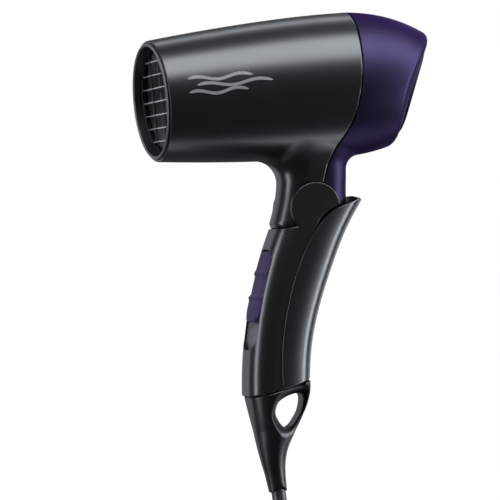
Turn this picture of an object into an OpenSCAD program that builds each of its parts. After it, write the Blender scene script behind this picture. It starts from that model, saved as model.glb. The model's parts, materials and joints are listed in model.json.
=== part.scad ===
// Folding travel hair dryer: barrel head with heater, motor and fan, pivoting on a curved
// handle with a slide switch, hang loop and mains lead. All sizes in millimetres.
// The origin is the middle of the hand grip. +Z is up, the air outlet faces -X.

/* [Barrel] */
// Height of the barrel's axis above the middle of the grip
axis_z = 100; // [98:1:104]
// X of the front end of the black barrel shell
nozzle_x = -55; // [-58:1:-53]
// Outer radius of the barrel shell at the outlet
nozzle_r = 28.2; // [27.8:0.1:29]
// Largest outer radius of the barrel shell
barrel_r = 34; // [33.5:0.5:35]
// Wall thickness of the moulded shells
wall = 2.2; // [1.8:0.1:2.4]
// Inner radius of the air outlet
outlet_r = 25.5; // [25:0.1:25.6]
// Tilt of the inlet face from vertical, in degrees
inlet_tilt = 23.5; // [22:0.5:25]

/* [Neck and fold] */
// X of the fold pivot
pivot_x = 15; // [14:1:16]
// Height of the fold pivot
pivot_z = 43; // [42:1:44]
// Radius of the pivot ears on the handle
ear_r = 11.8; // [11.4:0.1:12]
// Diameter of the fold axle
axle_d = 5; // [4:0.5:6]
// Half length of the neck's section, front to rear
neck_half_len = 16.6; // [16:0.1:17]
// Half width of the neck above the ears
neck_half_w = 13; // [12.5:0.1:13.5]
// Half width of the part of the neck that turns between the ears
tongue_half_w = 11.5; // [11.2:0.1:11.5]
// Radius of the neck's rounded lower end about the pivot
tongue_r = 16.2; // [15.6:0.1:16.2]

/* [Handle] */
// Half depth of the grip, front to rear
grip_half_d = 14.9; // [14.5:0.1:15.2]
// Half width of the grip
grip_half_w = 14; // [13.6:0.1:14.4]
// Corner radius of the grip's section
grip_corner = 10; // [9:0.5:11]
// Radius of the bend in the grip's centreline
bend_r = 190; // [188:1:192]

/* [Switch] */
// Length of the slider
slider_len = 34; // [32:1:35]
// Width of the slider
slider_w = 16.4; // [15:0.2:16.6]
// Travel of the slider from off to high
slider_travel = 10; // [8:1:10]

/* [Mains lead] */
// Diameter of the cord
cord_d = 6.8; // [6.4:0.2:6.8]
// Length of the straight runs of the folded hank
hank_run = 124; // [118:1:126]
// Diameter of a plug pin
plug_pin_d = 4.8; // [4.8:0.1:4.8]
// Distance between the plug's pins
plug_pitch = 19; // [19:1:19]

/* [Hidden] */
$fn = 72;
eps = 0.01;
gap = 0.15;

black = "#1b1a1a";
purple = "#43386a";
grey = "#9a9ba0";
steel = "#b9bcc0";
mica = "#b79a63";
copper = "#b4713d";
rubber = "#242322";

// ---- barrel profile ----
crest_x = 30;
rear_base_r = barrel_r - 1.1;
rear_drop = 12;
rear_len = 50;
body_end_x = 82;
profile_step = 6.5;
function shell_r(x) =
    barrel_r - (barrel_r - nozzle_r) * pow(max(0, crest_x - x) / (crest_x - nozzle_x), 1.6);
function tail_r(x) = rear_base_r - rear_drop * pow(max(0, x - crest_x) / rear_len, 2.6);

// Parting line between the front and rear housings, from the barrel's top to the neck's foot
parting_top_x = 42;
parting = [[44, 140], [parting_top_x, 128], [40, 118], [37.5, 102], [34, 86], [29.5, 75],
    [23.5, 62], [21, 55], [18, 47], [15.5, 40], [14, 20]];

// ---- neck ----
neck_tilt = 5.5;
neck_shift = 3.4;
neck_top = 48;
shoulder_r = 20.6;
tongue_step = 1;
tongue_corner = 8;
knuckle_r = 6;

// ---- inlet face ----
inlet_foot_x = 61.5;
inlet_foot_z = 71.5;
inlet_half = 24.6;
inlet_bend_r = 52;

// ---- handle ----
bend_x = 180;
bend_z = -58;
grip_wall = 2.2;
foot_tilt = 9.2;
foot_x = -8;
foot_z = -39;
lip_z = 35.2;
screw_angle = 12.5;
ear_in = 11.9;
ear_out = 14;
axle_half = 13;

// ---- switch ----
switch_angle = 19.2;
panel_w = 17.6;
panel_depth = 2.6;
panel_from = 10.6;
panel_to = 24.4;
panel_thick = 2;
stem_w = 4;

// ---- heater and fan, X places along the barrel ----
grille_x = -52;
heater_x0 = -44;
heater_x1 = -4;
heater_r = 20;
motor_x0 = 10;
motor_x1 = 40;
motor_r = 12;
shaft_r = 1;
fan_x0 = 45;
fan_x1 = 55;
fan_r = 26.5;

// ---- lead ----
exit_x = -13;
exit_z = -82;
fold_r = 20.5;
hank_top_z = -121;
hank_y0 = -10.2;
hank_turns = 4.5;
hank_x = exit_x + fold_r;
hank_low_y = hank_y0 - cord_d / 2;
hank_high_y = hank_y0 + hank_turns * cord_d + cord_d / 2;
plug_x = 16;
plug_y = 37.2;
plug_foot_z = -165;
plug_len = 42;
plug_half_w = 18;
plug_half_t = 13;
pin_len = 19;
tie_z = -150;
tie_h = 20;
tie_thick = 1.6;
lead_route = [[exit_x, 0, -80], [exit_x, -0.3, -88], [exit_x, -2, -96], [exit_x, -5, -104],
    [exit_x, -8, -112]];
tail_route = [[28, 23, -229], [26, 27, -218], [22, 31.5, -206], [18, 35, -196],
    [plug_x, plug_y, -187]];

// ---- helpers ----
module about_x() {
    translate([0, 0, axis_z]) rotate([0, 90, 0]) children();
}

module disc_x(x0, x1, r) {
    about_x() translate([0, 0, x0]) cylinder(r = r, h = x1 - x0);
}

module ring_x(x0, x1, r_out, r_in) {
    difference() {
        disc_x(x0, x1, r_out);
        disc_x(x0 - 1, x1 + 1, r_in);
    }
}

module across_y(width) {
    rotate([90, 0, 0]) linear_extrude(width, center = true) children();
}

module at_pivot() {
    translate([pivot_x, 0, pivot_z]) rotate([90, 0, 0]) children();
}

module stadium(half_len, half_w) {
    straight = half_len - half_w;
    translate([straight, 0]) circle(half_w);
    translate([-straight, 0]) circle(half_w);
    square([2 * straight, 2 * half_w], center = true);
}

module rounded(half_len, half_w, corner) {
    for (x = [corner - half_len, half_len - corner])
        for (y = [corner - half_w, half_w - corner])
            translate([x, y]) circle(corner);
    square([2 * half_len, 2 * (half_w - corner)], center = true);
    square([2 * (half_len - corner), 2 * half_w], center = true);
}

module grip_section(inset) {
    rounded(grip_half_d - inset, grip_half_w - inset, grip_corner - inset);
}

module round_bar(half_len, half_w, h) {
    linear_extrude(h) stadium(half_len, half_w);
}

// A point on the grip: angle from the bend's centre, distance outwards from the centreline
function on_grip(angle, out) =
    [bend_x - (bend_r + out) * cos(angle), 0, bend_z + (bend_r + out) * sin(angle)];

// Local frame on the grip's front: +X points back into the grip, +Z up along its surface
module at_grip(angle, out) {
    translate(on_grip(angle, out)) rotate([0, angle, 0]) children();
}

module grip_sweep(angle0, angle1) {
    translate([bend_x, 0, bend_z]) rotate([90, 0, 0]) rotate([0, 0, 180 - angle1])
        rotate_extrude(angle = angle1 - angle0, $fn = 360) translate([bend_r, 0]) children();
}

// Sweep of a round tube along a route, one ring of points at each route point
function unit(v) = v / norm(v);
function route_dir(p, i) = unit(p[min(i + 1, len(p) - 1)] - p[max(i - 1, 0)]);
function ring_at(c, d, r, n) =
    let (side = unit(cross(d, abs(d[0]) > 0.9 ? [0, 1, 0] : [1, 0, 0])), up = cross(side, d))
    [for (k = [0:n - 1]) c + r * (cos(360 * k / n) * side + sin(360 * k / n) * up)];
module tube(route, d, n = 8) {
    rings = [for (i = [0:len(route) - 1]) ring_at(route[i], route_dir(route, i), d / 2, n)];
    points = [for (ring = rings) each ring];
    last = n * (len(route) - 1);
    sides = [for (i = [0:len(route) - 2]) for (k = [0:n - 1])
        [i * n + k, i * n + (k + 1) % n, (i + 1) * n + (k + 1) % n, (i + 1) * n + k]];
    caps = [[for (k = [n - 1:-1:0]) k], [for (k = [0:n - 1]) last + k]];
    polyhedron(points, concat(sides, caps), convexity = 6);
}

// ---- head shells ----
module barrel_body(inset) {
    about_x() rotate_extrude($fn = 144) polygon(concat(
        [[0, nozzle_x]],
        [for (x = [nozzle_x:profile_step:crest_x + 12]) [shell_r(x) - inset, x]],
        [[barrel_r - inset, parting_top_x + 4], [0, parting_top_x + 4]]));
}

module rear_body(inset) {
    about_x() rotate_extrude($fn = 144) polygon(concat(
        [[0, crest_x - 4]],
        [for (x = [crest_x - 4:profile_step:body_end_x + 4]) [tail_r(x) - inset, x]],
        [[0, body_end_x + 4]]));
}

// Wheel about the fold axis with rounded shoulders: the space that the tongue's end sweeps
module tongue_wheel(grow) {
    shoulder = 7;
    at_pivot() rotate_extrude() intersection() {
        rounded(tongue_r + grow, tongue_half_w + grow, shoulder);
        translate([0, -30]) square([60, 60]);
    }
}

module neck_frame() {
    translate([pivot_x, 0, pivot_z]) rotate([0, neck_tilt, 0])
        translate([neck_shift, 0, -tongue_r]) children();
}

module neck_bar(inset) {
    difference() {
        neck_frame() round_bar(neck_half_len - inset, neck_half_w - inset, neck_top);
        at_pivot() cylinder(r = shoulder_r + inset, h = 60, center = true);
        translate([-60, -30, pivot_z - 60]) cube([160, 60, 60]);
    }
    intersection() {
        neck_frame() linear_extrude(neck_top)
            rounded(neck_half_len - tongue_step - inset, tongue_half_w - inset,
                tongue_corner - inset);
        union() {
            tongue_wheel(-inset);
            translate([-60, -30, pivot_z + inset]) cube([160, 60, 60]);
        }
    }
}

// Everything in front of the inlet face, which bends round an axis along its own slope
module before_inlet() {
    translate([inlet_foot_x, 0, inlet_foot_z]) rotate([0, inlet_tilt, 0]) {
        translate([-inlet_bend_r, 0, -80]) cylinder(r = inlet_bend_r, h = 180, $fn = 180);
        translate([-150 - inlet_bend_r, -50, -80]) cube([150, 100, 180]);
    }
}

module front_region(shift) {
    across_y(90) polygon(concat(
        [for (p = parting) [p[0] - shift, p[1]]], [[-70, 20], [-70, 140]]));
}

module front_housing() {
    color(black) difference() {
        intersection() {
            union() {
                barrel_body(0);
                neck_bar(0);
            }
            front_region(gap / 2);
        }
        difference() {
            union() {
                translate([-eps, 0, 0]) barrel_body(wall);
                neck_bar(wall);
            }
            at_pivot() cylinder(r = knuckle_r + 1.4, h = 40, center = true);
        }
        disc_x(nozzle_x - 1, nozzle_x + 7, nozzle_r - 1.2);
        at_pivot() cylinder(r = knuckle_r, h = 40, center = true);
    }
}

module rear_housing() {
    color(purple) difference() {
        intersection() {
            union() {
                rear_body(0);
                neck_bar(0.4);
            }
            before_inlet();
        }
        front_region(-gap / 2);
        difference() {
            union() {
                rear_body(wall);
                neck_bar(wall + 0.4);
            }
            at_pivot() cylinder(r = knuckle_r + 1.4, h = 40, center = true);
        }
        at_pivot() cylinder(r = knuckle_r, h = 40, center = true);
    }
}

module outlet_ring() {
    color(grey) about_x() rotate_extrude($fn = 144) polygon([
        [outlet_r, grille_x], [outlet_r, nozzle_x - 0.7], [outlet_r + 0.5, nozzle_x - 1.2],
        [nozzle_r - 1.7, nozzle_x - 1.2], [nozzle_r - 1.2, nozzle_x - 0.7],
        [nozzle_r - 1.2, grille_x]]);
}

module outlet_grille() {
    bar_pitch = 6.2;
    bar_h = 1.4;
    depth = 2.4;
    front = grille_x + 0.1;
    color(grey) {
        ring_x(front, front + depth, nozzle_r - 1.25, outlet_r - 1.6);
        intersection() {
            disc_x(front, front + depth, outlet_r - 1);
            union() {
                for (k = [-3:3])
                    translate([front, -30, axis_z + k * bar_pitch - bar_h / 2])
                        cube([depth, 60, bar_h]);
                for (y = [-10.5, 0, 10.5])
                    translate([front + 0.3, y - 0.7, axis_z - 30]) cube([depth - 0.3, 1.4, 60]);
            }
        }
    }
}

// ---- heater ----
module nozzle_liner() {
    color(steel) ring_x(grille_x + 2.6, heater_x1 + 2, outlet_r - 0.6, outlet_r - 1.2);
}

module heater_boards() {
    board_t = 0.8;
    tab = 1.2;
    color(mica) {
        for (turn = [45, 135])
            about_x() rotate([0, 0, turn])
                translate([-board_t / 2, -heater_r - tab, heater_x0])
                    cube([board_t, 2 * (heater_r + tab), heater_x1 - heater_x0]);
        ring_x(heater_x1 - 4, heater_x1 - 3.2, heater_r + 4, 8);
        ring_x(heater_x0 + 2, heater_x0 + 2.8, heater_r + 4, heater_r - 6);
    }
}

module heater_coils() {
    coil_pitch = 4;
    wire_r = 0.7;
    color(copper)
        for (x = [heater_x0 + 6:coil_pitch:heater_x1 - 7])
            about_x() translate([0, 0, x])
                rotate_extrude() translate([heater_r - 1, 0]) circle(wire_r, $fn = 16);
}

module thermostat() {
    color(steel) {
        disc_x(heater_x1 + 0.1, heater_x1 + 4, 5.2);
        for (y = [-3.6, 3.6])
            translate([heater_x1 + 3.9, y - 1.2, axis_z - 0.3]) cube([2.8, 2.4, 0.6]);
    }
}

module thermal_fuse() {
    color(steel) {
        translate([0, 0, 14]) disc_x(heater_x1 - 3, heater_x1 + 5, 1.7);
        translate([0, 0, 14]) disc_x(heater_x1 + 4, heater_x1 + 9, 0.5);
    }
}

// ---- motor and fan ----
module motor_mount() {
    vanes = 7;
    duct_r = 29.4;
    color(black) {
        ring_x(motor_x0 + 2, motor_x1 + 3, duct_r, duct_r - 1.4);
        ring_x(motor_x0 + 2, motor_x1 - 4, motor_r + 1.6, motor_r);
        for (k = [0:vanes - 1])
            about_x() rotate([0, 0, 360 * k / vanes + 14])
                translate([-0.6, motor_r + 1.2, motor_x0 + 4])
                    cube([1.2, duct_r - motor_r - 2, motor_x1 - motor_x0 - 10]);
    }
}

module motor_can() {
    color(steel) difference() {
        union() {
            disc_x(motor_x0, motor_x1, motor_r);
            disc_x(motor_x1 - eps, motor_x1 + 2, 4);
        }
        disc_x(motor_x0 + 4, motor_x1 + 3, shaft_r + 0.03);
    }
}

module motor_shaft() {
    color(grey) disc_x(motor_x0 + 5, fan_x1 - 1, shaft_r);
}

module rectifier_board() {
    color("#3b6b3f") disc_x(motor_x0 - 3.2, motor_x0 - 1.6, 10.5);
    color(black)
        for (k = [0:3])
            about_x() rotate([0, 0, 90 * k + 45]) translate([6, 0, motor_x0 - 1.6])
                translate([-1.5, -2.6, -eps]) cube([3, 5.2, 1.5]);
}

module fan_impeller() {
    blades = 9;
    hub_r = 9.5;
    color(black) difference() {
        union() {
            disc_x(fan_x0, fan_x1, hub_r);
            for (k = [0:blades - 1])
                about_x() rotate([0, 0, 360 * k / blades])
                    intersection() {
                        translate([0, 0, (fan_x0 + fan_x1) / 2]) rotate([0, 38, 0])
                            translate([-0.6, 0, -9]) rotate([0, 0, 90])
                                translate([hub_r - 1, -0.6, 0]) cube([fan_r, 1.2, 18]);
                        translate([0, 0, fan_x0 + 0.5])
                            cylinder(r = fan_r, h = fan_x1 - fan_x0 - 1);
                    }
        }
        disc_x(fan_x0 - 1, fan_x1 - 1, shaft_r);
        disc_x(fan_x0 - 1, fan_x0 + 5, hub_r - 2);
    }
}

// ---- inlet ----
module at_inlet() {
    translate([inlet_foot_x, 0, inlet_foot_z]) rotate([0, inlet_tilt, 0])
        translate([0, 0, inlet_half]) rotate([0, 90, 0]) children();
}

// Skin of the bent inlet face between two depths, measured forwards from the face
module inlet_skin(depth0, depth1) {
    rotate([0, 90, 0]) translate([0, 0, -40]) difference() {
        translate([inlet_bend_r, 0, 0]) cylinder(r = inlet_bend_r - depth0, h = 80, $fn = 180);
        translate([inlet_bend_r, 0, 0]) cylinder(r = inlet_bend_r - depth1, h = 80, $fn = 180);
    }
}

module rear_grille() {
    proud = 1.2;
    thick = 1.8;
    rim_half_len = inlet_half - 2.6;
    rim_half_w = 21.8;
    slot_w = 1.8;
    slot_pitch = 3.6;
    color(black) at_inlet() difference() {
        intersection() {
            inlet_skin(-proud, thick);
            translate([0, 0, -20]) round_bar(rim_half_len, rim_half_w, 40);
        }
        intersection() {
            translate([0, 0, -20]) round_bar(rim_half_len - 2.4, rim_half_w - 2.4, 40);
            for (k = [-5:5])
                for (half = [-1, 1])
                    translate([k * slot_pitch - slot_w / 2, half > 0 ? 0.8 : -30, -20])
                        cube([slot_w, 29.2, 40]);
        }
    }
}

module inlet_filter() {
    color(steel) at_inlet() intersection() {
        inlet_skin(3, 3.5);
        translate([0, 0, -20]) cylinder(r = 19, h = 40);
    }
}

// ---- fold joint ----
module hinge_knuckle() {
    color(steel) at_pivot() difference() {
        cylinder(r = knuckle_r, h = 2 * tongue_half_w, center = true);
        cylinder(r = axle_d / 2 + 0.03, h = 30, center = true);
    }
}

module hinge_axle() {
    color(steel) at_pivot() cylinder(d = axle_d, h = 2 * axle_half, center = true);
}

module detent_spring() {
    color(steel) translate([pivot_x, 0, pivot_z - tongue_r - 4.4]) {
        translate([-6, -3, 0]) cube([12, 6, 0.6]);
        translate([0, 3, 0.5]) rotate([90, 0, 0]) cylinder(r = 0.9, h = 6);
    }
}

// ---- handle shells ----
module above_handle() {
    across_y(60) polygon([[-40, lip_z], [-2, lip_z], [6, 33], [14, 31], [20, 31.5], [28, 36],
        [38.5, 44.6], [60, 44.6], [60, 90], [-40, 90]]);
}

module below_foot(lift) {
    translate([foot_x, 0, foot_z + lift]) rotate([0, -foot_tilt, 0])
        translate([-60, -40, -60]) cube([120, 80, 60]);
}

module grip_hollow() {
    difference() {
        grip_sweep(0, 40) grip_section(grip_wall);
        below_foot(2.4);
    }
}

module tang_hole() {
    translate([-16, -5, foot_z - 10]) cube([10, 10, 20]);
}

module handle_front_shell() {
    color(black) difference() {
        union() {
            difference() {
                grip_sweep(0, 40) intersection() {
                    grip_section(0);
                    translate([gap / 2, -30]) square([60, 60]);
                }
                above_handle();
            }
            at_pivot() cylinder(r = ear_r, h = 2 * ear_out, center = true);
            at_grip(screw_angle, 0) rotate([0, 90, 0]) translate([0, 0, -grip_half_d + 1])
                cylinder(r = 3, h = 12);
        }
        below_foot(0);
        tang_hole();
        difference() {
            grip_hollow();
            at_grip(screw_angle, 0) rotate([0, 90, 0]) translate([0, 0, -grip_half_d - 1])
                cylinder(r = 3, h = 14);
        }
        tongue_wheel(0.4);
        at_pivot() cylinder(d = axle_d, h = 2 * axle_half, center = true);
        at_grip(screw_angle, 0) rotate([0, 90, 0]) translate([0, 0, -grip_half_d + 5])
            cylinder(r = 1.1, h = 20);
        grip_sweep(panel_from, panel_to) translate([0, -panel_w / 2]) square([40, panel_w]);
    }
}

module handle_rear_shell() {
    color(black) difference() {
        grip_sweep(0, 40) difference() {
            grip_section(0);
            translate([-gap / 2, -30]) square([60, 60]);
        }
        above_handle();
        below_foot(0);
        tang_hole();
        grip_hollow();
        at_pivot() cylinder(r = ear_r + gap, h = 40, center = true);
        tongue_wheel(0.4);
        at_grip(screw_angle, 0) rotate([0, 90, 0]) cylinder(r = 1.8, h = 30);
        at_grip(screw_angle, 0) rotate([0, 90, 0]) translate([0, 0, grip_half_d - 1.2])
            cylinder(r = 3.2, h = 30);
    }
}

module handle_screw() {
    color(steel) at_grip(screw_angle, 0) rotate([0, 90, 0]) {
        translate([0, 0, -6]) cylinder(r = 1.1, h = grip_half_d + 5);
        translate([0, 0, grip_half_d - 1.2]) cylinder(r = 2.8, h = 1);
    }
}

// ---- switch ----
module switch_panel() {
    floor_out = grip_half_d - panel_depth - panel_thick;
    stem_slot = slider_travel + stem_w + 2;
    color(grey) difference() {
        grip_sweep(panel_from, panel_to)
            translate([floor_out, -panel_w / 2]) square([panel_thick, panel_w]);
        at_grip(switch_angle, grip_half_d)
            translate([-1, -1.6, -slider_travel - stem_w / 2 - 1]) cube([20, 3.2, stem_slot]);
    }
}

module switch_body() {
    body_h = 26;
    depth = 10;
    color(black) at_grip(switch_angle, grip_half_d) difference() {
        translate([panel_depth + panel_thick + 1.8, -6, -slider_travel / 2 - body_h / 2])
            cube([depth, 12, body_h]);
        translate([panel_depth, -1.6, -slider_travel - stem_w / 2 - 1])
            cube([8.4, 3.2, slider_travel + stem_w + 2]);
    }
}

module switch_slider() {
    under = panel_depth - 0.4;
    ridge = 0.5;
    scoop_r = 26;
    scoop_dip = 1.5;
    color(purple) at_grip(switch_angle, grip_half_d) difference() {
        translate([-ridge, -slider_w / 2, -slider_len / 2])
            cube([under + ridge, slider_w, slider_len]);
        translate([-scoop_r + scoop_dip, 0, 0]) rotate([90, 0, 0])
            cylinder(r = scoop_r, h = 40, center = true);
        for (end = [-1, 1])
            translate([-ridge, 0, end * slider_len / 2]) rotate([0, 45, 0])
                cube([1.6, 40, 1.6], center = true);
    }
}

module switch_stem() {
    color(black) at_grip(switch_angle, grip_half_d)
        translate([panel_depth - 0.4, -1.3, -stem_w / 2]) cube([8, 2.6, stem_w]);
}

// ---- cord anchor ----
module cord_clamp() {
    color(black) translate([-10.5, 0, -27]) difference() {
        translate([-2.5, -9.5, -3]) cube([5, 19, 6]);
        translate([4.6, 0, -4]) cylinder(r = 3.6, h = 8);
        for (y = [-7, 7])
            translate([-5, y, 0]) rotate([0, 90, 0]) cylinder(r = 1.3, h = 12);
    }
}

module clamp_screws() {
    color(steel) translate([-10.5, 0, -27])
        for (y = [-7, 7]) {
            translate([-7, y, 0]) rotate([0, 90, 0]) cylinder(r = 1.3, h = 9.5);
            translate([2.5, y, 0]) rotate([0, 90, 0]) cylinder(r = 2.4, h = 1.4);
        }
}

module hang_loop() {
    top_half_w = 12;
    eye_half_w = 5;
    color(rubber) {
        difference() {
            intersection() {
                across_y(2 * top_half_w) polygon([[-23.4, -42.6], [6.4, -37.8], [6, -42],
                    [4.8, -48], [2.4, -53], [-4, -62], [-7.4, -68], [-8.2, -73], [-17.2, -73],
                    [-19, -65], [-21.4, -55]]);
                translate([-30, 0, 0]) rotate([90, 0, 90]) linear_extrude(50)
                    polygon([[-top_half_w, -36], [top_half_w, -36], [top_half_w, -44],
                        [4.2, -80], [-4.2, -80], [-top_half_w, -44]]);
            }
            across_y(40) union() {
                translate([-6.4, -51.2]) circle(5.4);
                polygon([[-10.4, -47.4], [0, -43.2], [0.2, -46.4], [-1.8, -54]]);
            }
            for (side = [-1, 1])
                translate([-4.6, side * (eye_half_w + 10), -50.4]) rotate([90, 0, 0])
                    cylinder(r = 10, h = 20, center = true);
        }
        translate([exit_x, 0, exit_z]) cylinder(r1 = 4.2, r2 = 5.6, h = 12);
        translate([-15.9, -4.9, -42]) cube([9.8, 9.8, 8]);
    }
}

// ---- wiring ----
module handle_leads() {
    for (y = [-1.9, 1.9]) {
        color(y < 0 ? "#5a3b28" : "#3a57a0")
            tube([[-6, y, -34], [-6, y, -30], [-5.5, 1.4 * y, -24], [-4, 2.4 * y, -16],
                [0, 2.6 * y, -6], [5, 2.6 * y, 4], [9, 2.4 * y, 12], [12, 2 * y, 20]], 2);
    }
}

module head_leads() {
    for (y = [-4, 4]) {
        color(y < 0 ? "#5a3b28" : "#e8e4da")
            tube([[6.2, y, 37], [6.3, y, 45], [7.4, y, 56], [9, y, 67], [8.8, y, 75],
                [6.5, y, 82], [5.5, y, 88]], 1.8);
    }
}

// ---- mains lead ----
module cord_lead() {
    color(black) tube(lead_route, cord_d);
}

module cord_tail() {
    color(black) tube(tail_route, cord_d);
}

module cord_hank() {
    half_w = fold_r + cord_d / 2;
    color(black) translate([hank_x, (hank_low_y + hank_high_y) / 2, hank_top_z - hank_run / 2])
        rotate([90, 0, 0]) rotate([0, 0, 90])
            linear_extrude(hank_high_y - hank_low_y, center = true)
                stadium(hank_run / 2 + half_w, half_w);
}

module tie_outline(grow) {
    half_w = fold_r + cord_d / 2;
    hull() {
        for (x = [hank_x - half_w + 1, hank_x + half_w - 1])
            for (y = [hank_low_y + 1, hank_high_y - 1])
                translate([x, y]) circle(1 + grow, $fn = 32);
        for (x = [plug_x - plug_half_w + 8, plug_x + plug_half_w - 8])
            translate([x, plug_y + plug_half_t - 8]) circle(8 + grow, $fn = 32);
    }
}

module cord_tie() {
    color("#2c2c30") translate([0, 0, tie_z]) linear_extrude(tie_h) difference() {
        tie_outline(0.3 + tie_thick);
        tie_outline(0.3);
    }
}

module plug_relief() {
    relief_len = 25;
    color(rubber) translate([plug_x, plug_y, plug_foot_z - relief_len])
        cylinder(r1 = 4.6, r2 = 6.2, h = relief_len);
}

module plug_body() {
    nose = 14;
    color(black) translate([plug_x, plug_y, plug_foot_z]) {
        translate([0, 0, plug_len - nose]) round_bar(plug_half_w, plug_half_t, nose);
        hull() {
            translate([0, 0, plug_len - nose]) round_bar(plug_half_w, plug_half_t, 0.1);
            round_bar(8.4, 7.4, 4);
        }
    }
}

module plug_pins() {
    color(steel) for (side = [-1, 1])
        translate([plug_x + side * plug_pitch / 2, plug_y, plug_foot_z + plug_len]) {
            cylinder(d = plug_pin_d, h = pin_len - 1);
            translate([0, 0, pin_len - 1]) cylinder(d1 = plug_pin_d, d2 = plug_pin_d - 1.6, h = 1);
        }
}

front_housing();
rear_housing();
outlet_ring();
outlet_grille();
nozzle_liner();
heater_boards();
heater_coils();
thermostat();
thermal_fuse();
motor_mount();
motor_can();
rectifier_board();
rear_grille();
inlet_filter();
hinge_knuckle();
head_leads();
fan_impeller();
motor_shaft();
handle_front_shell();
handle_rear_shell();
hinge_axle();
detent_spring();
switch_panel();
switch_body();
cord_clamp();
clamp_screws();
handle_screw();
handle_leads();
hang_loop();
switch_slider();
switch_stem();
cord_lead();
cord_hank();
cord_tail();
cord_tie();
plug_relief();
plug_body();
plug_pins();
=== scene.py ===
"""Looks for the folding travel hair dryer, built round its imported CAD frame.

Shell shapes are worked out in millimetres as signed distances, negative inside, meshed on a
grid and pulled onto the exact surface. Every Blender object ends up in metres.
"""

import json
import math

import bpy
import numpy as np
import openvdb
from mathutils import Matrix, Vector


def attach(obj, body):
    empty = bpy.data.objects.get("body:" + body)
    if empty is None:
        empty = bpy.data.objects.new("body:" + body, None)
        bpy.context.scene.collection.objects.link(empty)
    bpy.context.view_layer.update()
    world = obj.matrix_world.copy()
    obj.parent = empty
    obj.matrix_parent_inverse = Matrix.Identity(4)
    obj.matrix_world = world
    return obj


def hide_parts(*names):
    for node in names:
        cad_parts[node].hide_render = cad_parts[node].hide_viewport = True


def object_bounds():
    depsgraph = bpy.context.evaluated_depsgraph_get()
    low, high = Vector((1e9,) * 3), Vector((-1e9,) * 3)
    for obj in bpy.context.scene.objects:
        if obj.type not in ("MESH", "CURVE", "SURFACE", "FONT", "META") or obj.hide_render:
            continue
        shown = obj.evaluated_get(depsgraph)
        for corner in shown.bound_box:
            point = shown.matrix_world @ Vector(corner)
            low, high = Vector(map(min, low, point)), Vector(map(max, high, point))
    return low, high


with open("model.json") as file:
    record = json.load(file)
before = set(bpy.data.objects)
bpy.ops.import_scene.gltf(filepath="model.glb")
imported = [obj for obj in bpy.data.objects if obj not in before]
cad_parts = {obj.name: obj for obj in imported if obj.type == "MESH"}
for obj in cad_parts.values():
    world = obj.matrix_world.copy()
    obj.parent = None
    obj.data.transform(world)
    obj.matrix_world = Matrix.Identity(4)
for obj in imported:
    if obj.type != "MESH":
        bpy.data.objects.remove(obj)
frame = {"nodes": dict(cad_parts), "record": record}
cad_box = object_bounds()

MM = 0.001
NODES = frame["nodes"]
PIVOT = Vector((15, 0, 43))
AXIS_Z = 100

# ---------------------------------------------------------------- camera
CAM_AZIMUTH = math.radians(-18.9)
CAM_ELEVATION = math.radians(1.4)
CAM_ROLL = math.radians(5.86)
CAM_DISTANCE = 1.2
LENS_MM = 182.6
SENSOR_MM = 36
# How far right of and above the picture's middle the fold pivot stands, as slopes
PIVOT_RIGHT = 0.02188
PIVOT_UP = 0.01617

cos_el = math.cos(CAM_ELEVATION)
cam_back = Vector((math.sin(CAM_AZIMUTH) * cos_el, -math.cos(CAM_AZIMUTH) * cos_el,
                   math.sin(CAM_ELEVATION)))
level_right = Vector((math.cos(CAM_AZIMUTH), math.sin(CAM_AZIMUTH), 0))
level_up = cam_back.cross(level_right)
cam_right = level_right * math.cos(CAM_ROLL) - level_up * math.sin(CAM_ROLL)
cam_up = level_right * math.sin(CAM_ROLL) + level_up * math.cos(CAM_ROLL)
sight = -cam_back + cam_right * PIVOT_RIGHT + cam_up * PIVOT_UP

cam_data = bpy.data.cameras.new("camera")
cam_data.lens = LENS_MM
cam_data.sensor_width = SENSOR_MM
cam_data.clip_end = 20
camera = bpy.data.objects.new("camera", cam_data)
bpy.context.scene.collection.objects.link(camera)
turn = Matrix((cam_right, cam_up, cam_back)).transposed()
camera.matrix_world = Matrix.Translation(PIVOT * MM - sight * CAM_DISTANCE) @ turn.to_4x4()
bpy.context.scene.camera = camera


# ---------------------------------------------------------------- objects
def add(name, data):
    """Puts an object with this data into the scene."""
    obj = bpy.data.objects.new(name, data)
    bpy.context.scene.collection.objects.link(obj)
    return obj


def mesh_piece(name, points, faces, normals=None):
    """A smooth mesh from points in millimetres."""
    mesh = bpy.data.meshes.new(name)
    mesh.from_pydata((np.asarray(points) * MM).tolist(), [], np.asarray(faces).tolist())
    mesh.polygons.foreach_set("use_smooth", [True] * len(mesh.polygons))
    if normals is not None:
        mesh.normals_split_custom_set_from_vertices(normals.tolist())
    mesh.update()
    return add(name, mesh)


# ---------------------------------------------------------------- cord
CORD_D = 6.8
FOLD_R = 20.5
HANK_TOP_Z = -121
HANK_RUN = 124
HANK_Y0 = -10.2
HANK_TURNS = 4.5
EXIT_X = -13
PLUG_X = 16
PLUG_Y = 37.2
PLUG_FOOT_Z = -165
TURN_STEPS = 64


def hank_point(t):
    """A point on the hank after t turns: down the front run, up the rear run."""
    half_fold = math.pi * FOLD_R
    lap = 2 * (HANK_RUN + half_fold)
    s = (t % 1) * lap
    y = HANK_Y0 + CORD_D * t
    mid_x = EXIT_X + FOLD_R
    low_z = HANK_TOP_Z - HANK_RUN
    if s < HANK_RUN:
        return (EXIT_X, y, HANK_TOP_Z - s)
    s -= HANK_RUN
    if s < half_fold:
        a = s / FOLD_R
        return (mid_x - FOLD_R * math.cos(a), y, low_z - FOLD_R * math.sin(a))
    s -= half_fold
    if s < HANK_RUN:
        return (EXIT_X + 2 * FOLD_R, y, low_z + s)
    a = (s - HANK_RUN) / FOLD_R
    return (mid_x + FOLD_R * math.cos(a), y, HANK_TOP_Z + FOLD_R * math.sin(a))


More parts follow.
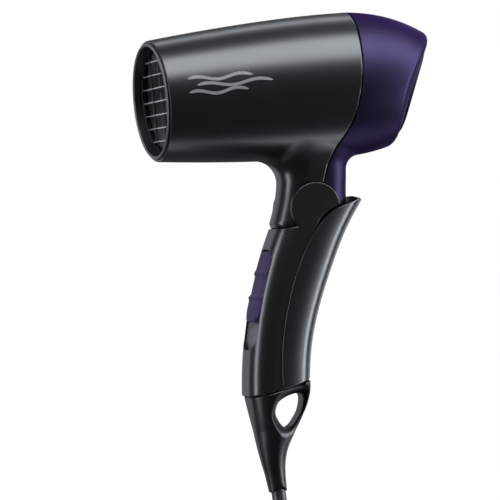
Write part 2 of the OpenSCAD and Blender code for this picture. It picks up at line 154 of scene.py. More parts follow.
def eased(points, per_span=4):
    """A Catmull-Rom line through the points."""
    p = np.array(points, float)
    p = np.vstack([2 * p[0] - p[1], p, 2 * p[-1] - p[-2]])
    line = []
    for i in range(1, len(p) - 2):
        a, b, c, d = p[i - 1:i + 3]
        for k in range(per_span):
            t = k / per_span
            line.append(0.5 * (2 * b + (c - a) * t + (2 * a - 5 * b + 4 * c - d) * t * t
                               + (3 * b - a - 3 * c + d) * t ** 3))
    return line + [p[-2]]


lead_route = [(EXIT_X, 0, -80), (EXIT_X, -0.3, -88), (EXIT_X, -2, -96), (EXIT_X, -5, -104),
              (EXIT_X, -8, -112)]
tail_route = [(28, 21.8, -237), (28, 23.6, -229), (26, 27.5, -218), (22, 32, -206),
              (18, 35.6, -196), (PLUG_X, PLUG_Y, -187), (PLUG_X, PLUG_Y, PLUG_FOOT_Z - 14)]
hank = [hank_point(k / TURN_STEPS) for k in range(int(HANK_TURNS * TURN_STEPS) + 1)]
cord_line = eased(lead_route + hank[:1])[:-1] + hank[:-1] + eased(hank[-1:] + tail_route)

cord_curve = bpy.data.curves.new("mains_cord", "CURVE")
cord_curve.dimensions = "3D"
spline = cord_curve.splines.new("POLY")
spline.points.add(len(cord_line) - 1)
for point, place in zip(spline.points, cord_line):
    point.co = (*[c * MM for c in place], 1)
    point.radius = CORD_D / 2 * MM
cord_curve.bevel_depth = 1
cord_curve.bevel_resolution = 5
cord_curve.use_fill_caps = True
cord = add("mains_cord", cord_curve)
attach(cord, "handle")
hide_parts("cord_lead", "cord_hank", "cord_tail")


# ---------------------------------------------------------------- signed distances
def meet(a, b, r):
    """Both shapes at once, with the edge between them rounded to radius r."""
    u, v = np.maximum(a + r, 0), np.maximum(b + r, 0)
    return np.minimum(np.maximum(a, b), -r) + np.hypot(u, v)


def join(a, b, r):
    """Either shape, with a fillet of radius r between them."""
    return -meet(-a, -b, r)


def ramp(x, low, high):
    """Smooth step from 0 at low to 1 at high."""
    t = np.clip((x - low) / (high - low), 0, 1)
    return t * t * (3 - 2 * t)


def slab(u, half_u, v, half_v, r):
    """A rectangle's distance, with corners of radius r."""
    du, dv = np.abs(u) - half_u + r, np.abs(v) - half_v + r
    return np.hypot(np.maximum(du, 0), np.maximum(dv, 0)) + np.minimum(np.maximum(du, dv), 0) - r


def outline(u, v, points):
    """Distance to a closed polygon, negative inside."""
    best = np.full(np.broadcast(u, v).shape, 1e9)
    inside = np.zeros(best.shape, bool)
    for (u0, v0), (u1, v1) in zip(points, points[1:] + points[:1]):
        eu, ev, wu, wv = u1 - u0, v1 - v0, u - u0, v - v0
        t = np.clip((wu * eu + wv * ev) / (eu * eu + ev * ev), 0, 1)
        best = np.minimum(best, np.hypot(wu - eu * t, wv - ev * t))
        if ev:
            inside ^= ((v0 > v) != (v1 > v)) & (u < u0 + eu * (v - v0) / ev)
    return np.where(inside, -best, best)


def smooth_line(points, per_span=6):
    """An eased line as a list of tuples, for outline()."""
    return [tuple(p) for p in eased(points, per_span)]


def slope_of(shape, p, h=0.01):
    """A shape's distance and gradient at the points p."""
    here = shape(*p.T)
    g = np.empty_like(p)
    for k in range(3):
        step = np.zeros(3)
        step[k] = h
        g[:, k] = (shape(*(p + step).T) - here) / h
    return here, g


SNAP_ROUNDS = 3


def shell(name, shape, low, high, pitch):
    """Meshes a shape given in millimetres and pulls the mesh onto its exact surface."""
    grid_axes = [np.arange(a, b + pitch, pitch) for a, b in zip(low, high)]
    field = shape(*np.meshgrid(*grid_axes, indexing="ij", sparse=True)).astype(np.float32)
    grid = openvdb.FloatGrid(background=float(pitch * 3))
    grid.copyFromArray(np.ascontiguousarray(field))
    points, quads = grid.convertToQuads(0.0)
    points = points.astype(float) * pitch + np.array(low, float)
    for _ in range(SNAP_ROUNDS):
        here, g = slope_of(shape, points)
        move = g * (here / np.maximum((g * g).sum(1), 0.25))[:, None]
        reach = np.linalg.norm(move, axis=1)
        points -= move * np.minimum(1, 0.5 * pitch / np.maximum(reach, 1e-9))[:, None]
    normals = slope_of(shape, points)[1]
    normals /= np.maximum(np.linalg.norm(normals, axis=1), 1e-9)[:, None]
    a, b, c = (points[quads[:, k]] for k in (0, 1, 2))
    facing = (np.cross(b - a, c - b) * normals[quads[:, 0]]).sum(1)
    if np.median(facing) < 0:
        quads = quads[:, ::-1]
    return mesh_piece(name, points, quads, normals)


# ---------------------------------------------------------------- head shells
NOZZLE_X, CREST_X, BARREL_R = -55, 30, 34
# The barrel narrows by its taper, forwards to the nozzle and backwards over the tail
NOZZLE_TAPER, NOZZLE_POWER = 5.8, 1.6
TAIL_R, TAIL_TAPER, TAIL_POWER, TAIL_LEN = 34.4, 11.5, 2.6, 50
WALL = 2.2
PARTING = smooth_line([(46, 150), (44, 136), (42, 128), (40, 118), (37.5, 102), (34, 86),
                       (29.5, 75), (23.5, 62), (21, 55), (18, 47), (15.5, 40), (14, 20)])
FRONT_SIDE = [(-90, 20), (-90, 150)] + PARTING
NECK_TILT = math.radians(5.5)
TONGUE_HALF_W = 12.3
FOOT_R = 18.45
NECK_TOP = 80
EAR = (15.3, 43)
EAR_R = 12.4
BORE_R = 27
# A point low on the leaning inlet face, and the radius to which the face is bent sideways
INLET_X, INLET_Z, INLET_BEND_R = 61.3, 71.5, 52
INLET_TILT = math.radians(25)
# The rear grille's round seat, whose middle stands this far up the face
SEAT_X, SEAT_UP, SEAT_R = 61.5, 24.6, 22.15
SEAT_TILT = math.radians(23.5)


def barrel(y, z, radius, slope):
    """Distance to a round barrel whose radius changes with the given slope."""
    return (np.hypot(y, z - AXIS_Z) - radius) / np.hypot(1, slope)


def front_radius(t):
    """The barrel's radius at share t of the way from its crest to the nozzle."""
    return BARREL_R - NOZZLE_TAPER * t ** NOZZLE_POWER


def front_barrel(x, y, z):
    length = CREST_X - NOZZLE_X
    t = np.clip((CREST_X - x) / length, 0, 1.1)
    slope = NOZZLE_TAPER * NOZZLE_POWER * t ** (NOZZLE_POWER - 1) / length
    return barrel(y, z, front_radius(t), slope)


def rear_barrel(x, y, z):
    t = np.clip((x - CREST_X) / TAIL_LEN, 0, 1.3)
    slope = TAIL_TAPER * TAIL_POWER * t ** (TAIL_POWER - 1) / TAIL_LEN
    return barrel(y, z, TAIL_R - TAIL_TAPER * t ** TAIL_POWER, slope)


def neck_fillet(x):
    """Radius of the fillet between barrel and neck, smaller towards the rear."""
    return 11 - 5 * ramp(x, 8, 32)


def neck(x, y, z, thinner):
    """The neck's bar. It widens forwards at its foot and is rounded about the fold axis."""
    u = (x - PIVOT.x) * math.cos(NECK_TILT) - (z - PIVOT.z) * math.sin(NECK_TILT)
    toe = 4.6 * np.clip((58 - z) / 22, 0, 1.6) ** 1.7
    corner = 11 + 1.4 * ramp(u, 2, 5) - thinner
    bar = slab(u - 3.4 + toe / 2, 16.6 + toe / 2 - thinner, y,
               13 - 0.5 * ramp(-z, -58, -50) - thinner, corner)
    rise = np.maximum(z - PIVOT.z, 0)
    radius = np.hypot(x - PIVOT.x, np.minimum(z - PIVOT.z, 0))
    foot = slab(radius, FOOT_R + 0.8 * rise - thinner, y,
                TONGUE_HALF_W + 0.5 * rise - thinner, 10 - thinner)
    return meet(meet(bar, foot, 0.4), z - NECK_TOP, 0.1)


def fold_disc(x, y, z):
    """Pocket in the neck for the handle's round ear."""
    return np.maximum(np.hypot(x - EAR[0], z - EAR[1]) - EAR_R - 0.15, 11.6 - np.abs(y))


def front_body(x, y, z):
    """The black shell: barrel and front of the neck, open at the nozzle."""
    fillet = neck_fillet(x)
    outer = join(front_barrel(x, y, z), neck(x, y, z, 0), fillet)
    inner = join(front_barrel(x, y, z) + WALL, neck(x, y, z, WALL), fillet)
    d = meet(outer, -inner, 0.5)
    d = meet(d, outline(x, z, FRONT_SIDE) + 0.08, 0.8)
    d = meet(d, NOZZLE_X - x, 0.4)
    bore = np.maximum(np.hypot(y, z - AXIS_Z) - BORE_R, x - (NOZZLE_X + 7))
    d = meet(d, -bore, 0.15)
    return meet(d, -fold_disc(x, y, z), 0.3)


def inlet_cut(x, y, z):
    """Distance past the bent inlet face."""
    u = (x - INLET_X) * math.cos(INLET_TILT) - (z - INLET_Z) * math.sin(INLET_TILT)
    bent = np.hypot(u + INLET_BEND_R, y) - INLET_BEND_R
    return np.where(u > -INLET_BEND_R, bent, -INLET_BEND_R)


def grille_seat(x, y, z):
    """Round opening in the inlet face that holds the rear grille."""
    v = (x - SEAT_X) * math.sin(SEAT_TILT) + (z - INLET_Z) * math.cos(SEAT_TILT)
    return np.hypot(v - SEAT_UP, y) - SEAT_R


def rear_body(x, y, z):
    """The purple shell: tail of the barrel and rear of the neck, with a flange at the inlet."""
    fillet = neck_fillet(x)
    outer = join(rear_barrel(x, y, z), neck(x, y, z, 0.35), fillet)
    outer = meet(outer, inlet_cut(x, y, z), 1.2 + 1.6 * ramp(z, 108, 124))
    inner = join(rear_barrel(x, y, z) + WALL, neck(x, y, z, WALL + 0.35), fillet)
    d = meet(outer, -inner, 0.5)
    flange = np.maximum(outer, -WALL - inlet_cut(x, y, z))
    d = np.minimum(d, meet(flange, -grille_seat(x, y, z), 0.3))
    d = meet(d, -outline(x, z, FRONT_SIDE) + 0.08, 0.3)
    return meet(d, -fold_disc(x, y, z), 0.3)


PITCH = 0.7
GRIP_PITCH = 0.5
SLIDER_PITCH = 0.45
LOOP_PITCH = 0.5
front_shell = shell("black_front_shell", front_body, (-57, -36, 22), (48, 36, 136), PITCH)
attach(front_shell, "head")
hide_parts("front_housing")
rear_shell = shell("purple_rear_shell", rear_body, (12, -36, 22), (88, 36, 136), PITCH)
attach(rear_shell, "head")
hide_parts("rear_housing")


def lathe(name, profile, turns=72):
    """A closed ring about the barrel's axis, from (x, radius) points."""
    angles = np.linspace(0, math.tau, turns, endpoint=False)
    points = [(x, r * math.cos(a), AXIS_Z + r * math.sin(a)) for a in angles for x, r in profile]
    n = len(profile)
    faces = [(k * n + m, k * n + (m + 1) % n, (k + 1) % turns * n + (m + 1) % n,
              (k + 1) % turns * n + m) for k in range(turns) for m in range(n)]
    piece = mesh_piece(name, points, faces)
    piece.data.set_sharp_from_angle(angle=math.radians(40))
    return piece


def rods(name, spans, half_deep, half_wide):
    """Straight eight-sided bars, each from one point to another across the barrel."""
    points, faces = [], []
    for start, end in spans:
        along = (np.array(end, float) - start) / np.linalg.norm(np.array(end, float) - start)
        across = np.cross(along, (1, 0, 0))
        first = len(points)
        for end_point in (start, end):
            for k in range(8):
                a = math.tau * (k + 0.5) / 8
                points.append(np.array(end_point) + across * half_wide * math.cos(a)
                              + np.array((half_deep * math.sin(a), 0, 0)))
        faces += [(first + k, first + (k + 1) % 8, first + 8 + (k + 1) % 8, first + 8 + k)
                  for k in range(8)]
        for k in (0, 8):
            faces += [[first + k + m for m in (0, 1, 2, 3)], [first + k + m for m in (3, 4, 5, 6)],
                      [first + k + m for m in (6, 7, 0, 3)]]
    piece = mesh_piece(name, points, faces)
    piece.data.set_sharp_from_angle(angle=math.radians(50))
    return piece


# ---------------------------------------------------------------- outlet grid and mark
GRID_X = -51.2
GRID_R = 24.3
GRID_PITCH = 6.2


def chord(offset):
    """Half the length of a bar this far from the grid's middle."""
    return math.sqrt(GRID_R ** 2 - offset ** 2)


bars = [((GRID_X, -chord(k * GRID_PITCH), AXIS_Z + k * GRID_PITCH),
         (GRID_X, chord(k * GRID_PITCH), AXIS_Z + k * GRID_PITCH)) for k in range(-3, 4)]
grid_bars = rods("grid_bars", bars, 0.7, 0.42)
posts = [((GRID_X + 1.1, y, AXIS_Z - chord(y)), (GRID_X + 1.1, y, AXIS_Z + chord(y)))
         for y in (-14.5, 0, 14.5)]
grid_posts = rods("grid_posts", posts, 0.6, 0.4)
stays = [((GRID_X - 0.5, y, AXIS_Z - chord(y)), (GRID_X - 0.5, y, AXIS_Z + chord(y)))
         for y in (-8, 8)]
grid_stays = rods("grid_stays", stays, 0.3, 0.55)
grid_rim = lathe("grid_rim", [(-51.9, 24), (-52.2, 24.3), (-52.2, 26.3), (-51.8, 26.7),
                              (-50, 26.7), (-49.8, 26.4), (-49.8, 24.2), (-50, 24)])
for piece in (grid_bars, grid_posts, grid_stays, grid_rim):
    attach(piece, "head")
    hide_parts("outlet_grille")

MARK_STEPS = 40


def wave(start, length, middle):
    """One raised wavy stroke on the barrel's left side, with tapered ends."""
    points, faces = [], []
    for k in range(MARK_STEPS + 1):
        t = k / MARK_STEPS
        x = start + length * t
        lift = middle + 0.9 * math.sin(math.tau * (1.5 * t + 0.05))
        half = 0.7 * min(1, math.sqrt(min(t, 1 - t) * 12)) + 0.02
        for step, proud in ((-half, -0.1), (-half, 0.06), (half, 0.06), (half, -0.1)):
            z = lift + step
            radius = front_radius((CREST_X - x) / (CREST_X - NOZZLE_X)) + proud
            points.append((x, -math.sqrt(radius ** 2 - z ** 2), AXIS_Z + z))
        if k:
            a, b = 4 * (k - 1), 4 * k
            faces += [(a + m, b + m, b + (m + 1) % 4, a + (m + 1) % 4) for m in range(4)]
    last = 4 * MARK_STEPS
    faces += [(0, 1, 2, 3), (last + 3, last + 2, last + 1, last)]
    return points, faces


mark_points, mark_faces = [], []
for start, length, middle in ((-46, 31, 7.4), (-42, 36, 4.2), (-46, 28, 1.0)):
    more_points, more_faces = wave(start, length, middle)
    mark_faces += [tuple(len(mark_points) + v for v in face) for face in more_faces]
    mark_points += more_points
air_mark = mesh_piece("air_mark", mark_points, mark_faces)
air_mark.data.set_sharp_from_angle(angle=math.radians(40))
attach(air_mark, "head")

# ---------------------------------------------------------------- handle shells
BEND_X, BEND_Z, BEND_R = 180, -58, 190
GRIP_HALF_D, GRIP_HALF_W = 14.9, 14
GRIP_CORNER = 10
CAMBER_R, REAR_R = 30.5, 15
# Side view of the line where the handle's two shells meet, which climbs to the wing's tip
RIM_LINE = [(-10.9, -60), (-10.1, -40), (-9.0, -25.2), (-6.6, -11.9), (-3.2, -0.5), (1.1, 11.2),
            (8.1, 24.6), (13.3, 32), (19.3, 38), (27.3, 42.4), (35, 44.2), (43, 44.9)]
BEHIND_RIM = smooth_line(RIM_LINE) + [(70, 45.5), (70, -60)]
# Middle of the switch panel's recess up the bend, and the length of a degree on the grip's front
RECESS_ANGLE = 17.45
FRONT_MM_PER_DEGREE = 3.576


def along_grip(x, z):
    """Angle up the bend, and distance in front of the grip's centreline."""
    angle = np.degrees(np.arctan2(z - BEND_Z, BEND_X - x))
    return angle, np.hypot(x - BEND_X, z - BEND_Z) - BEND_R


def grip_back(x, z):
    """Distance behind the centreline, less the flare towards the wing."""
    return -along_grip(x, z)[1] - 2.0 * ramp(z, -25, 20) - 0.5 * ramp(z, 30, 46)


def grip(x, y, z, proud=0.0):
    """The grip's section: a rounded front, cambered sides and a rear face with two creases."""
    out = along_grip(x, z)[1]
    back = grip_back(x, z)
    sides = np.abs(y)
    front = slab(out, GRIP_HALF_D, y, GRIP_HALF_W, GRIP_CORNER)
    camber = np.hypot(back + 2, sides + CAMBER_R - GRIP_HALF_W) - CAMBER_R
    rear = np.hypot(back - 0.98, y) - REAR_R
    tail = meet(camber, rear, 0.35)
    return np.where(back > -2, tail, front) - proud


def foot_plane(x, z, lift):
    """Distance below the plane where the grip ends, raised by lift."""
    tilt = math.radians(9.2)
    return -((x + 8) * -math.sin(tilt) + (z + 39 - lift) * math.cos(tilt))


def handle_room(x, y, z):
    """Space inside the handle, for the works and for the turning foot of the neck."""
    wall = grip(x, y, z) + 0.9
    lid = np.minimum(z - 40, x - 36.2)
    inside = np.maximum(wall + 1.2, foot_plane(x, z, 2.4))
    inside = np.maximum(inside, lid)
    radius = np.hypot(x - PIVOT.x, z - PIVOT.z)
    swing = slab(radius, FOOT_R + 0.5, y, TONGUE_HALF_W + 0.35, 9)
    swing = np.where(radius < EAR_R, np.maximum(swing, np.abs(y) - 11.9), swing)
    wall = np.maximum(wall, lid)
    return np.minimum(inside, np.where(-along_grip(x, z)[1] > 0, np.maximum(swing, wall), swing))


def grip_front(x, y, z):
    """The front shell, with both pivot ears and the recess for the switch panel."""
    angle, out = along_grip(x, z)
    cheek = np.hypot(np.maximum(2 - out, 0), np.abs(y) + np.where(y > 0, 47.3, 46)) - 60
    ear = meet(np.hypot(x - EAR[0], z - EAR[1]) - EAR_R, cheek, 0.5)
    body = np.minimum(meet(grip(x, y, z), z - 35.5, 0.5), ear)
    body = meet(body, -handle_room(x, y, z), 0.3)
    body = meet(body, foot_plane(x, z, 0), 0.7)
    body = meet(body, 2.1 * ramp(z, 28, 40) - 0.6 - outline(x, z, BEHIND_RIM), 0.15)
    recess = slab((angle - RECESS_ANGLE) * FRONT_MM_PER_DEGREE, 24, y, 8.9, 7)
    recess = np.maximum(recess, GRIP_HALF_D - 2.7 - out)
    return meet(body, -recess, 0.25)


def grip_rear(x, y, z):
    """The rear shell, which rises behind the neck to a blunt wing."""
    body = grip(x, y, z, 0.3)
    body = meet(body, -handle_room(x, y, z), 0.3)
    body = meet(body, foot_plane(x, z, 0), 0.7)
    lift = 3.2 * ramp(x, 26, 34) * ramp(-np.abs(y), -12.5, -5)
    top = (z - 47.6 + 0.42 * (x - 35)) / 1.085
    return meet(meet(body, outline(x, z - lift, BEHIND_RIM), 0.4), top, 0.5)


grip_front_piece = shell("grip_front", grip_front, (-28, -16, -46), (30, 16, 58), GRIP_PITCH)
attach(grip_front_piece, "handle")
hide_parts("handle_front_shell")
grip_rear_piece = shell("grip_rear", grip_rear, (-12, -17, -44), (46, 17, 50), GRIP_PITCH)
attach(grip_rear_piece, "handle")
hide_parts("handle_rear_shell")

# A thin bead along the shells' parting line on both sides. Its round shape catches lamp
# highlights, and its grey, lighter than the shell, paints in more of the highlight line
seam = [p for p in smooth_line(RIM_LINE) if -40 < p[1] < 42]
seam_spans = []
for (xa, za), (xb, zb) in zip(seam, seam[1:]):
    ends = []
    for x, z in ((xa, za), (xb, zb)):
        behind = max(2, grip_back(x, z))
        ends.append((x, math.sqrt(CAMBER_R ** 2 - (behind + 2) ** 2) - CAMBER_R + GRIP_HALF_W
                     + 0.3, z))
    for side in (-1, 1):
        seam_spans.append(tuple((x, side * (y + 0.1), z) for x, y, z in ends))
seam_highlight_bead = rods("seam_highlight_bead", seam_spans, 0.24, 0.3)
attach(seam_highlight_bead, "handle")

# ---------------------------------------------------------------- slider
SWITCH_ANGLE = math.radians(19.2)
SLIDER_TOP = Vector((BEND_X - (BEND_R + GRIP_HALF_D) * math.cos(SWITCH_ANGLE), 0,
                     BEND_Z + (BEND_R + GRIP_HALF_D) * math.sin(SWITCH_ANGLE)))


def slider(x, y, z):
    """The switch's button: a scoop between two swellings on the grip's own section."""
    out = along_grip(x, z)[1]
    dx, dz = x - SLIDER_TOP.x, z - SLIDER_TOP.z
    up = dx * math.sin(SWITCH_ANGLE) + dz * math.cos(SWITCH_ANGLE)
    deep = dx * math.cos(SWITCH_ANGLE) - dz * math.sin(SWITCH_ANGLE)
    scoop = np.clip(1 - ((up - 0.35) / 5.6) ** 2, 0, None)
    rise = (0.55 * np.exp(-((up - 6.2) / 1.3) ** 2) + 0.75 * np.exp(-((up + 5.4) / 1.2) ** 2)
            - 0.75 * scoop ** 0.8 + 0.35 * np.clip(1 - ((up + 11.5) / 5.5) ** 2, 0, 1))
    face = slab(out - rise, GRIP_HALF_D, y, GRIP_HALF_W, GRIP_CORNER)
    plan = slab(up, 17, y, 8.2, 4.5)
    return meet(meet(face, plan, 0.6), deep - 2.15, 0.2)


slider_piece = shell("slider_button", slider, (-24, -9, -10), (-2, 9, 30), SLIDER_PITCH)
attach(slider_piece, "slider")
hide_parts("switch_slider")

# ---------------------------------------------------------------- hang loop
LOOP_LEFT = smooth_line([(-23.4, -41.6), (-22.6, -49), (-21.7, -58), (-20.8, -66), (-19.7, -73),
                         (-18.4, -80), (-17.3, -88)])
LOOP_RIGHT = smooth_line([(-8.9, -88), (-8.8, -80), (-8.2, -74), (-6.4, -68), (-3, -62),
                          (0.8, -55.5), (4.2, -49), (6.2, -42.5), (6.9, -37)])
# Both ends go on above the foot plane, which cuts the loop's top flat
LOOP_SIDE = [(-25.6, -27)] + LOOP_LEFT + LOOP_RIGHT + [(9.5, -24)]
EYE = smooth_line([(-11.4, -49.5), (-9.7, -46.2), (-6.5, -44.2), (-2.5, -43), (1.2, -42.7),
                   (2.6, -43.9), (2.7, -46.7), (1.2, -51.2), (-1.6, -55.1), (-4.4, -57.8),
                   (-6.6, -58.2), (-8.8, -57), (-10.6, -54), (-11.5, -51.5)], 4)


def loop_body(x, y, z):
    """Hanging loop and strain relief, narrowing downwards, with a spigot into the grip."""
    side = outline(x, z, LOOP_SIDE)
    half_w = 13.9 - 9.6 * ramp(-z, 38, 92)
    corner = np.minimum(10.3, 0.95 * half_w)
    u, v = side + corner, np.abs(y) - half_w + corner
    d = np.hypot(np.maximum(u, 0), np.maximum(v, 0)) + np.minimum(np.maximum(u, v), 0) - corner
    d = meet(d, -z - 90, 0.6)
    d = meet(d, -foot_plane(x, z, -0.4), 0.7)
    widening = 2.4 * np.clip((np.abs(y) - 3.2) / 4.5, 0, 1.4) ** 1.5
    d = meet(d, widening - outline(x, z, EYE), 1.5)
    spigot = np.maximum(slab(x + 11, 4.9, y, 4.9, 1), np.abs(z + 39) - 4)
    return np.minimum(d, spigot)


loop_piece = shell("hang_loop_body", loop_body, (-26, -14, -90), (9, 14, -35), LOOP_PITCH)
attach(loop_piece, "handle")
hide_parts("hang_loop")


# ---------------------------------------------------------------- materials
def plastic(name, colour, rough, grain=0.0, grain_size=2500, mottle=0.12, metal=0.0,
            specular=0.5):
    """Moulded plastic or metal with fine grain, slight unevenness in tone and gloss."""
    mat = bpy.data.materials.new(name)
    mat.use_nodes = True
    tree = mat.node_tree
    nodes, links = tree.nodes, tree.links
    shader = nodes["Principled BSDF"]
    shader.inputs["Metallic"].default_value = metal
    shader.inputs["Specular IOR Level"].default_value = specular
    coord = nodes.new("ShaderNodeTexCoord")
    cloud = nodes.new("ShaderNodeTexNoise")
    cloud.inputs["Scale"].default_value = 60
    cloud.inputs["Detail"].default_value = 4
    links.new(coord.outputs["Object"], cloud.inputs["Vector"])
    tone = nodes.new("ShaderNodeValToRGB")
    tone.color_ramp.elements[0].position = 0.3
    tone.color_ramp.elements[1].position = 0.7
    tone.color_ramp.elements[0].color = [c * (1 - mottle) for c in colour] + [1]
    tone.color_ramp.elements[1].color = [min(1, c * (1 + mottle)) for c in colour] + [1]
    links.new(cloud.outputs["Fac"], tone.inputs["Fac"])
    links.new(tone.outputs["Color"], shader.inputs["Base Color"])
    gloss = nodes.new("ShaderNodeMapRange")
    gloss.inputs["To Min"].default_value = rough * 0.94
    gloss.inputs["To Max"].default_value = rough * 1.06
    links.new(cloud.outputs["Fac"], gloss.inputs["Value"])
    links.new(gloss.outputs["Result"], shader.inputs["Roughness"])
    if grain:
        fine = nodes.new("ShaderNodeTexNoise")
        fine.inputs["Scale"].default_value = grain_size
        fine.inputs["Detail"].default_value = 2
        links.new(coord.outputs["Object"], fine.inputs["Vector"])
        bump = nodes.new("ShaderNodeBump")
        bump.inputs["Strength"].default_value = grain
        bump.inputs["Distance"].default_value = 0.0002
        links.new(fine.outputs["Fac"], bump.inputs["Height"])
        links.new(bump.outputs["Normal"], shader.inputs["Normal"])
    return mat


def zoned(mat, source, axis, start, end, beyond):
    """The tone turns to another one along an axis of the part or of its facing, from end back to
    start; this paints a second colour, or paints shade.
    """
    tree = mat.node_tree
    coord = tree.nodes.new("ShaderNodeTexCoord")
    parts = tree.nodes.new("ShaderNodeSeparateXYZ")
    span = tree.nodes.new("ShaderNodeMapRange")
    blend = tree.nodes.new("ShaderNodeMix")
    blend.data_type = "RGBA"
    tree.links.new(coord.outputs[source], parts.inputs["Vector"])
    tree.links.new(parts.outputs[axis], span.inputs["Value"])
    span.inputs["From Min"].default_value = start
    span.inputs["From Max"].default_value = end
    base = tree.nodes["Principled BSDF"].inputs["Base Color"]
    tone = base.links[0].from_socket
    tree.links.new(span.outputs["Result"], blend.inputs["Factor"])
    blend.inputs["A"].default_value = list(beyond) + [1]
    tree.links.new(tone, blend.inputs["B"])
    tree.links.new(blend.outputs["Result"], base)


BLACK = plastic("black_satin", (0.0105, 0.0098, 0.0092), 0.3, grain=0.06)
PURPLE = plastic("purple_satin", (0.02, 0.0156, 0.036), 0.45, metal=1, grain=0.06)
zoned(PURPLE, "Object", "Z", 0.0455, 0.0458, (0.01, 0.0095, 0.009))
PURPLE.node_tree.nodes["Principled BSDF"].inputs["Specular Tint"].default_value = \
    (0.5, 0.43, 0.66, 1)
BUTTON = plastic("purple_button", (0.2, 0.135, 0.38), 0.5, grain=0.06, specular=0.06)
# Painted highlight: a grey lighter than the black shell, for the bead along the handle's parting
# line
SEAM_HIGHLIGHT = plastic("seam_painted_highlight", (0.06, 0.06, 0.062), 0.3, grain=0.05)
RUBBER = plastic("soft_black", (0.0095, 0.009, 0.0085), 0.36, grain=0.12, specular=0.36)
JACKET = plastic("cord_jacket", (0.012, 0.0115, 0.011), 0.4, grain=0.1)
INNER = plastic("inner_black", (0.014, 0.014, 0.014), 0.55, grain=0.15)
STEEL = plastic("bright_steel", (0.55, 0.55, 0.56), 0.28, metal=1, grain=0.05)
TRIM_AND_BORE_SHADE = plastic("outlet_trim", (0.42, 0.44, 0.48), 0.5, grain=0.05, specular=0.3)
# Painted shade: trim faces that don't face forward, such as the walls of the bore, turn near black
zoned(TRIM_AND_BORE_SHADE, "Normal", "X", -0.5, -0.8, (0.012, 0.0115, 0.011))
WIRE = plastic("grid_wire", (0.85, 0.86, 0.88), 0.35, metal=1, grain=0.05)
SHADE = plastic("outlet_shade", (0.01, 0.01, 0.01), 0.6, grain=0.1, specular=0.15)
MARK = plastic("mark_silver", (0.72, 0.73, 0.77), 0.4, grain=0.05)
GRILLE = plastic("outlet_grille", (0.16, 0.165, 0.18), 0.4, grain=0.05, specular=0.3)
MICA = plastic("mica", (0.17, 0.16, 0.14), 0.5, mottle=0.4, grain=0.2)
COPPER = plastic("heater_wire", (0.5, 0.36, 0.26), 0.35, metal=1)
BOARD = plastic("circuit_board", (0.03, 0.12, 0.05), 0.4)
FILTER = plastic("filter_mesh", (0.2, 0.2, 0.21), 0.45, metal=1, grain=0.3)
LEADS = plastic("lead_insulation", (0.12, 0.06, 0.03), 0.4)
PANEL = plastic("switch_panel", (0.33, 0.335, 0.36), 0.45, grain=0.08)
zoned(PANEL, "Object", "Z", -0.002, -0.006, (0.02, 0.02, 0.022))
TIE = plastic("tie_strap", (0.02, 0.02, 0.022), 0.7, grain=0.5, grain_size=900)
PLUG = plastic("plug_plastic", (0.012, 0.0115, 0.0115), 0.4, grain=0.15)
PINS = plastic("pin_metal", (0.72, 0.68, 0.6), 0.22, metal=1)

LOOKS = {
    "black_shell": BLACK, "purple_shell": PURPLE, "outlet_trim": TRIM_AND_BORE_SHADE, "outlet_grille": GRILLE,
    "steel": STEEL, "mica": MICA, "heater_wire": COPPER, "black_inner": INNER,
    "circuit_board": BOARD, "black_grille": SHADE, "filter_mesh": FILTER,
    "lead_insulation": LEADS, "switch_panel": PANEL, "soft_rubber": RUBBER,
    "cord_jacket": JACKET, "tie_strap": TIE, "plug_plastic": PLUG, "pin_metal": PINS,
}


def paint(obj, mat):
    """Gives the whole object one material."""
    if len(obj.data.materials):
        for k in range(len(obj.data.materials)):
            obj.data.materials[k] = mat
    else:
        obj.data.materials.append(mat)


for part in frame["record"]["subparts"]:
    paint(NODES[part["node"]], LOOKS[part["material_slot"]])
for piece, look in ((cord, JACKET), (front_shell, BLACK), (rear_shell, PURPLE),
                    (grip_front_piece, BLACK), (grip_rear_piece, BLACK),
                    (slider_piece, BUTTON), (loop_piece, RUBBER), (grid_bars, WIRE),
                    (grid_posts, GRILLE), (grid_stays, SHADE), (grid_rim, SHADE),
                    (air_mark, MARK), (seam_highlight_bead, SEAM_HIGHLIGHT)):
    paint(piece, look)

# ---------------------------------------------------------------- floor and light
bpy.context.scene.view_settings.view_transform = "Standard"
world = bpy.data.worlds.new("studio")
bpy.context.scene.world = world
world.use_nodes = True
sky = world.node_tree
backdrop = sky.nodes["Background"]
backdrop.inputs["Color"].default_value = (1, 1, 1, 1)
backdrop.inputs["Strength"].default_value = 1.0
room = sky.nodes.new("ShaderNodeBackground")
room.inputs["Color"].default_value = (0.9, 0.95, 1, 1)
room.inputs["Strength"].default_value = 0.12
path = sky.nodes.new("ShaderNodeLightPath")
pick = sky.nodes.new("ShaderNodeMixShader")
sky.links.new(path.outputs["Is Camera Ray"], pick.inputs[0])
sky.links.new(room.outputs["Background"], pick.inputs[1])
sky.links.new(backdrop.outputs["Background"], pick.inputs[2])
sky.links.new(pick.outputs["Shader"], sky.nodes["World Output"].inputs["Surface"])

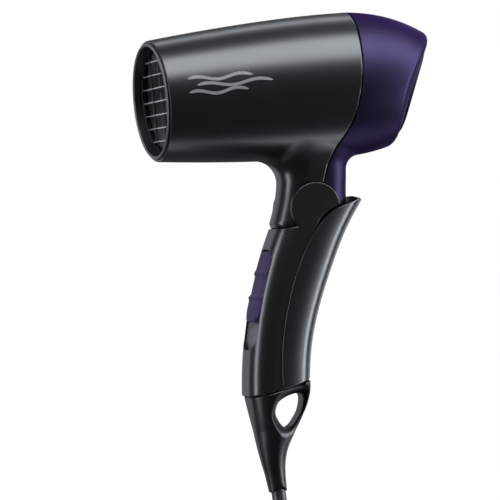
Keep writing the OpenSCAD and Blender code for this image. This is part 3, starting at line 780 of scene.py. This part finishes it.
FLOOR_GAP = 0.001
FLOOR_HALF = 6
floor_z = cad_box[0].z - FLOOR_GAP
floor_mesh = bpy.data.meshes.new("floor")
floor_mesh.from_pydata([(-FLOOR_HALF, -FLOOR_HALF, floor_z), (FLOOR_HALF, -FLOOR_HALF, floor_z),
                        (FLOOR_HALF, FLOOR_HALF, floor_z), (-FLOOR_HALF, FLOOR_HALF, floor_z)],
                       [], [(0, 1, 2, 3)])
floor = add("floor", floor_mesh)
floor_look = plastic("pale_floor", (0.1, 0.1, 0.1), 0.9, mottle=0.01, specular=0.0)
floor_shader = floor_look.node_tree.nodes["Principled BSDF"]
floor_shader.inputs["Emission Color"].default_value = (1, 1, 1, 1)
floor_shader.inputs["Emission Strength"].default_value = 1.0
paint(floor, floor_look)
floor.visible_glossy = False
floor.visible_diffuse = False
floor.visible_shadow = False

MIDDLE = Vector((0.01, 0, 0.05))


def lamp(name, towards, distance, width, height, strength, colour, lights_diffuse):
    """A soft panel seen from the dryer in the given direction; strength is its brightness."""
    data = bpy.data.lights.new(name, "AREA")
    data.shape = "RECTANGLE"
    data.size, data.size_y = width, height
    data.energy = strength * math.pi * width * height
    data.color = colour
    light = add(name, data)
    away = Vector(towards).normalized()
    light.location = MIDDLE + away * distance
    side = Vector((0, 0, 1)).cross(away) if abs(away.x) > 0.6 else Vector((1, 0, 0))
    side = (side - away * side.dot(away)).normalized()
    rows = Matrix((side, away.cross(side), away))
    light.rotation_euler = rows.transposed().to_euler()
    light.visible_camera = False
    light.visible_diffuse = lights_diffuse


COOL = (0.88, 0.94, 1)
WHITE = (1, 1, 1)
# Cool panels that only show as reflections: direction, distance, width, height, brightness
for name, *panel in (
        ("key", (0.32, -0.46, 0.82), 1.5, 1.8, 1.0, 9.5),
        ("top_back", (0.32, 0.56, 0.765), 1.5, 1.8, 0.26, 3.6),
        ("under", (0.32, 0.09, -0.942), 1.2, 1.8, 0.36, 3.4),
        ("left", (-1, 0.02, 0.33), 1.4, 0.3, 2.5, 12),
        ("right", (0.94, -0.34, 0), 1.4, 0.3, 1.6, 19),
        ("right_back", (0.75, 0.66, 0), 1.4, 0.9, 1.6, 1.0),
        ("rear_side", (0.88, -0.2, 0.42), 1.4, 0.5, 0.8, 4.5),
        ("back_left", (-0.33, 0.94, 0.05), 1.5, 1.2, 1.4, 0.6)):
    lamp(name, *panel, COOL, False)
lamp("fill", (-0.3, -0.5, 0.8), 1.6, 1.0, 1.0, 2, WHITE, True)
